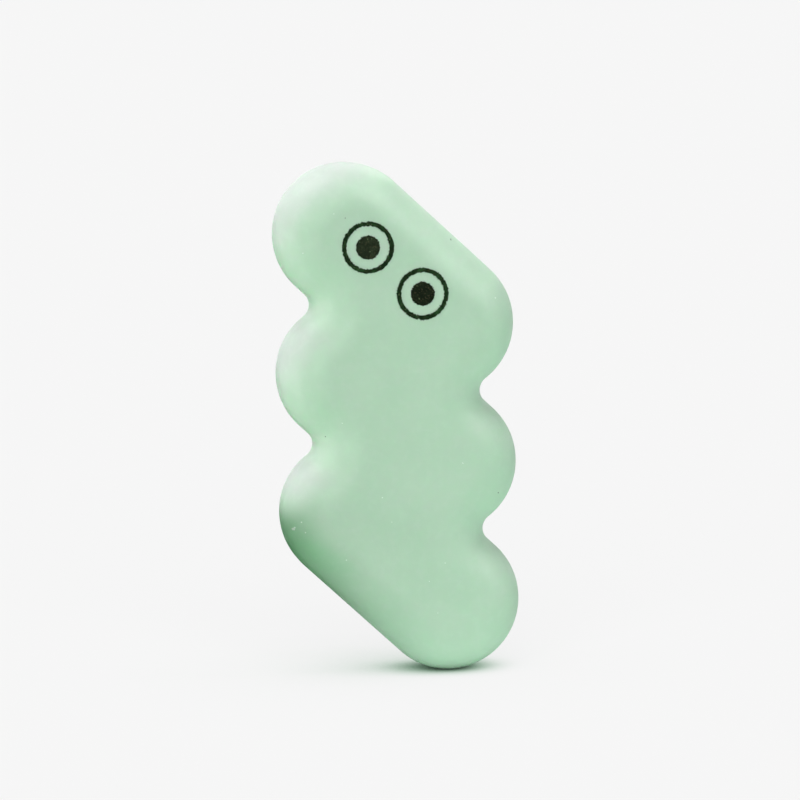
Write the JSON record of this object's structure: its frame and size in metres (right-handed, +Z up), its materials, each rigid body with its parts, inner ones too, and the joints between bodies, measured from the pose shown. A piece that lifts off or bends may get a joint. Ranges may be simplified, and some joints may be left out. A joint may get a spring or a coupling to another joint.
{
  "type": "eraser",
  "caption": "Soft rubber eraser shaped as a stack of slanted round-ended bars with rounded edges, and printed ring-and-dot eyes on its flat front face.",
  "frame": {"origin": "on the ground under the middle of the body, which stands on the tip of its lowest lobe as in the picture", "axes": "+Z up along the stack of bars, +X to the right of someone who looks at the printed face, +Y from the printed front face to the plain back face"},
  "size_m": [0.0284, 0.0131, 0.061],
  "materials": {
    "rubber": "smooth matte moulded rubber, pale mint green",
    "ink": "stamped matte ink, very dark green"
  },
  "bodies": {
    "root": {"eraser_body": "rubber", "upper_eye_ring": "ink", "upper_eye_pupil": "ink", "lower_eye_ring": "ink", "lower_eye_pupil": "ink"}
  },
  "joints": []
}
